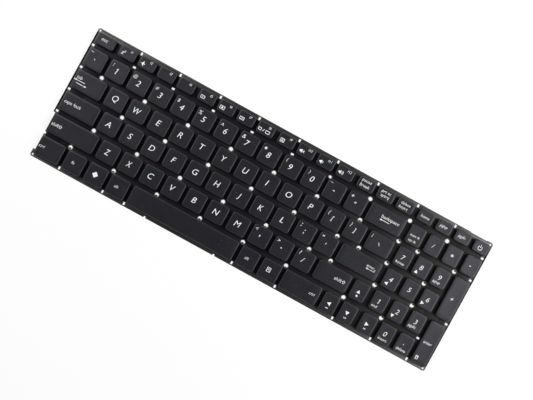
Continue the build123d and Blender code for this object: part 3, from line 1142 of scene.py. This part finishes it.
def scissor_template():
    """The first pair of yokes in the frame, rounded and pinned, about its own place on the film."""
    bm = merged_copy("scissor_links")
    spots = {}
    for island in islands(bm):
        low, high = island_box(island)
        middle = (low + high).xy / 2 / MM
        near = [spot for spot in spots if (Vector(spot) - middle).length < SAME_SPOT]
        spots.setdefault(near[0] if near else tuple(middle), []).append(island)
    spot = min(spots)
    keep = {vert for island in spots[spot] for vert in island}
    yokes = [island_box(island) for island in spots[spot]]
    bmesh.ops.delete(bm, geom=[vert for vert in bm.verts if vert not in keep], context="VERTS")
    bmesh.ops.translate(bm, verts=bm.verts, vec=(-spot[0] * MM, -spot[1] * MM, 0))
    bmesh.ops.dissolve_limit(bm, angle_limit=radians(1), verts=bm.verts, edges=bm.edges)
    bmesh.ops.bevel(bm, geom=bm.edges[:], offset=LINK_EDGE, segments=2, affect="EDGES")
    outer = max((high.y - low.y) / 2 for low, high in yokes)
    inner = min((high.y - low.y) / 2 for low, high in yokes)
    level = (yokes[0][0].z + yokes[0][1].z) / 2
    half = (yokes[0][1].x - yokes[0][0].x) / 2
    rise = (yokes[0][1].z - yokes[0][0].z) / 2
    tip = half - TIP_INSET
    lift = tip * (rise - LINK_THICKNESS / 2) / half
    for side in (-1, 1):
        add_pin(bm, (0, side * (inner + outer - ARM_WIDTH) / 2, level), outer - inner + PIVOT_ENDS)
        for end, reach in ((tip, outer), (-tip, inner)):
            away = side * (2 * reach + PIN_REACH - ARM_WIDTH) / 2
            add_pin(bm, (end, away, level + lift), ARM_WIDTH + PIN_REACH)
    return as_mesh(bm, "scissor_template"), spots, half, outer


scissor_mesh, scissor_spots, half_link, outer_half = scissor_template()
print(len(scissor_spots), "scissors; one has", len(scissor_mesh.polygons), "faces")

# %% [markdown]
# ## Rubber domes
# A dome is a turned shape: a flat flange glued to the film, a thin skirt that buckles with a snap, and a
# plunger with a hollow tip. The CAD has a plain six-sided cone in its place. Turning a profile round the
# upright axis gives the real shape within the same height and nearly the same width.

# %% Build one dome
DOME_PROFILE = [(2.75, 0), (2.75, 0.25), (2.45, 0.4), (2.15, 1.2), (1.75, 1.9), (1.45, 2.2), (1.3, 2.4)]
DOME_PROFILE += [(1.25, 3.0), (1.15, 3.15), (1.0, 3.18), (0.6, 3.12), (0.45, 2.95)]
DOME_STEPS = 24


def dome_template():
    """The turned profile, about its own place on the film."""
    bm = bmesh.new()
    rings = []
    for radius, height in DOME_PROFILE:
        points = circle(Vector((0, 0)), radius, DOME_STEPS)
        rings.append([Vector((*point, height)) * MM for point in points])
    add_rings(bm, rings)
    bmesh.ops.translate(bm, verts=bm.verts, vec=(0, 0, FILM_TOP))
    return as_mesh(bm, "dome_template")


dome_mesh = dome_template()
print("one dome has", len(dome_mesh.polygons), "faces")

# %% [markdown]
# ## Place scissors and domes
# A travelling key's scissor folds and its dome buckles as the key goes down. Both stay on the film, so each
# piece rides on the base and gets a mesh of its own. The resting keys have the same parts, smaller under the
# short caps, joined into two pieces because nothing there moves.

# %% Stand the parts under their caps
ROOM_BESIDE = 1.9 * MM


def copies(mesh, places):
    """One bmesh with a copy of a mesh at each place, given as x, y and the scales along both."""
    bm = bmesh.new()
    for x, y, wide, deep in places:
        copy = mesh.copy()
        copy.transform(Matrix.Translation((x, y, 0)) @ Matrix.Diagonal((wide, deep, 1, 1)))
        absorb(bm, copy)
    return bm


def spots_under(name):
    """Where a key's scissors stand, with their scales."""
    low, high = key_box[name]
    inside = [s for s in scissor_spots if low.x < s[0] * MM < high.x and low.y < s[1] * MM < high.y]
    if inside:
        return [(x * MM, y * MM, 1, 1) for x, y in sorted(inside)]
    middle = (low + high) / 2
    wide = min(1, ((high.x - low.x) / 2 - ROOM_BESIDE) / half_link)
    deep = min(1, ((high.y - low.y) / 2 - ROOM_BESIDE) / outer_half)
    return [(middle.x, middle.y, wide, deep)]


def fold(piece, joint):
    """Gives a piece a mesh of its own if it belongs to a key's joint."""
    if joint:
        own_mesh(piece)


def stand(name, mesh, places, material, node, joint=None):
    fold(settle(finish_mesh(copies(mesh, places), name, material), node), joint)


for name in travelling:
    places = spots_under(name)
    stand(f"scissor_{name}", scissor_mesh, places, link_plastic, "scissor_links", f"press_{name}")
    stand(f"dome_{name}", dome_mesh, places, milky_silicone, "rubber_domes", f"press_{name}")
resting = [place for name in key_box if name not in travelling for place in spots_under(name)]
stand("scissors_resting", scissor_mesh, resting, link_plastic, "scissor_links")
stand("domes_resting", dome_mesh, resting, milky_silicone, "rubber_domes")
for mesh in (scissor_mesh, dome_mesh):
    bpy.data.meshes.remove(mesh)
print(2 * len(travelling) + 2, "pieces under the caps")

# %% [markdown]
# ## Stabiliser wires
# A wide cap would tip when it is pressed near one end. A bent steel wire under it ties both ends together: its
# long bar turns below the roof of the cap, and two arms reach down to hooks on the plate. Straight tubes would
# meet in sharp corners, so the wire is a NURBS curve with two points close to each corner, and a round bevel
# gives its thickness.

# %% Bend the wires
WIRE_RADIUS = 0.25
WIRE_BEND = 0.8
WIRE_ARM = 5.5
WIRE_HOOK = 1.4
WIRE_ENDS = 2.4
WIRE_LOW, WIRE_HIGH = 1.22, 3.75
WIRE_ROOM = 0.2
WIDE_KEYS = ["backspace", "tab", "enter", "left_shift", "right_shift", "space", "caps_lock", "right_control"]
TALL_KEYS = ["add", "pad_enter"]


def wire_corners(half_long, half_short):
    """A wire's corners in millimetres about its cap's middle, for a cap that is long in X."""
    end, bar_y = half_long - WIRE_ENDS, half_short - CAP_WALL / MM - WIRE_RADIUS - WIRE_ROOM
    arm_y = bar_y - WIRE_ARM
    half_wire = [(end - WIRE_HOOK, arm_y, WIRE_LOW), (end, arm_y, WIRE_LOW), (end, bar_y, WIRE_HIGH)]
    return [Vector((-x, y, z)) for x, y, z in half_wire] + [Vector(corner) for corner in reversed(half_wire)]


def wire_points(corners):
    """The corners, each inner one with a point close before it and one close after it."""
    points = [corners[0]]
    for before, corner, after in zip(corners, corners[1:], corners[2:]):
        points += [corner + (before - corner).normalized() * WIRE_BEND, corner]
        points.append(corner + (after - corner).normalized() * WIRE_BEND)
    return points + [corners[-1]]


def wire_mesh(name):
    """One key's wire at its place in the frame."""
    low, high = key_box[name]
    half, middle = (high - low) / 2 / MM, (high + low) / 2
    tall = name in TALL_KEYS
    points = wire_points(wire_corners(half.y, half.x) if tall else wire_corners(half.x, half.y))
    curve = bpy.data.curves.new("wire", "CURVE")
    curve.dimensions = "3D"
    curve.bevel_depth = WIRE_RADIUS
    curve.bevel_resolution = 2
    curve.resolution_u = 3
    curve.use_fill_caps = True
    spline = add_spline(curve, "NURBS", points)
    spline.order_u = 3
    spline.use_endpoint_u = True
    bm = curve_bmesh(curve, doubles=0.001)
    turn = Matrix.Rotation(pi / 2 if tall else 0, 4, "Z")
    place = Matrix.Translation((middle.x, middle.y, 0)) @ Matrix.Scale(MM, 4) @ turn
    bmesh.ops.transform(bm, matrix=place, verts=bm.verts)
    return as_mesh(bm, "wire")


def lay_wires(piece_name, names, joint=None):
    bm = bmesh.new()
    for name in names:
        absorb(bm, wire_mesh(name))
    fold(settle(finish_mesh(bm, piece_name, cut_steel, angle=50)), joint)


moving = [name for name in WIDE_KEYS if name in travelling]
for name in moving:
    lay_wires(f"wire_{name}", [name], f"press_{name}")
lay_wires("wires_resting", [name for name in WIDE_KEYS + TALL_KEYS if name not in travelling])
print(len(moving), "wires that move, and", len(WIDE_KEYS) + len(TALL_KEYS) - len(moving), "at rest")

# %% [markdown]
# ## Light
# Two soft lamps stand over the ends of the keyboard, a little behind it. Seen from above, the satin caps at
# both ends reflect them and look greyer, the middle stays nearly black, and the shadows fall into the gaps in
# front of the caps. A dim even world fills the shadows.

# %% Add the lamps and the world
LAMP_SIZE = 0.4
LAMPS = [(Vector((-0.52, 0.25, 0.6)), 3.6), (Vector((0.52, 0.1, 0.6)), 4.6)]
WORLD_LEVEL = 0.25

for number, (place, power) in enumerate(LAMPS):
    lamp_data = bpy.data.lights.new(f"softbox_{number}", "AREA")
    lamp_data.size = LAMP_SIZE
    lamp_data.energy = power
    lamp = bpy.data.objects.new(f"softbox_{number}", lamp_data)
    lamp.location = place
    lamp.rotation_euler = (-place).to_track_quat("-Z", "Y").to_euler()
    lamp.visible_camera = False
    scene.collection.objects.link(lamp)

world = bpy.data.worlds.new("studio")
world.use_nodes = True
background = world.node_tree.nodes["Background"]
background.inputs["Color"].default_value = (1, 1, 1, 1)
background.inputs["Strength"].default_value = WORLD_LEVEL
scene.world = world
print(len(LAMPS), "lamps")

# %% [markdown]
# ## The white floor
# The photograph has a plain white ground. A wide floor that curves up far behind the object gives the same
# white from every side, with no horizon. Its material is white for the rays that the eye sees directly or in a
# mirror, with a share of ordinary white paint mixed in, which keeps the object's shadow.

# %% Lay the floor
FLOOR_PROFILE = [(6.0, 0.0), (7.0, 0.25), (7.7, 0.9), (8.0, 2.0), (8.0, 5.0)]
FLOOR_STEPS = 48
FLOOR_DROP = 0.02 * MM
WHITE_SHARE = 0.8


def floor_finish():
    material = bpy.data.materials.new("white_ground")
    material.use_nodes = True
    tree = material.node_tree
    tree.nodes.clear()
    kinds = ("Camera", "Glossy", "Transmission")
    rays = [Socket.of(tree, "ShaderNodeLightPath", result=f"Is {kind} Ray") for kind in kinds]
    seen = ((rays[0] + rays[1] + rays[2]) > 0.5) * WHITE_SHARE
    paint = Socket.of(tree, "ShaderNodeBsdfDiffuse", values={"Color": (0.95, 0.95, 0.95, 1)})
    glow = Socket.of(tree, "ShaderNodeEmission", values={"Color": (1, 1, 1, 1), "Strength": 1.0})
    both = Socket.of(tree, "ShaderNodeMixShader", values={0: seen, 1: paint, 2: glow})
    output = tree.nodes.new("ShaderNodeOutputMaterial")
    tree.links.new(both.output, output.inputs["Surface"])
    return material


bm = bmesh.new()
rings = []
for radius, height in FLOOR_PROFILE:
    points = circle(Vector((0, 0)), radius, FLOOR_STEPS)
    rings.append([bm.verts.new((*point, height - FLOOR_DROP)) for point in points])
bm.faces.new(rings[0])
for lower, upper in zip(rings, rings[1:]):
    join_rings(bm, lower, upper)
floor = finish_mesh(bm, "floor", floor_finish())
print("floor", 2 * FLOOR_PROFILE[-1][0], "m across")
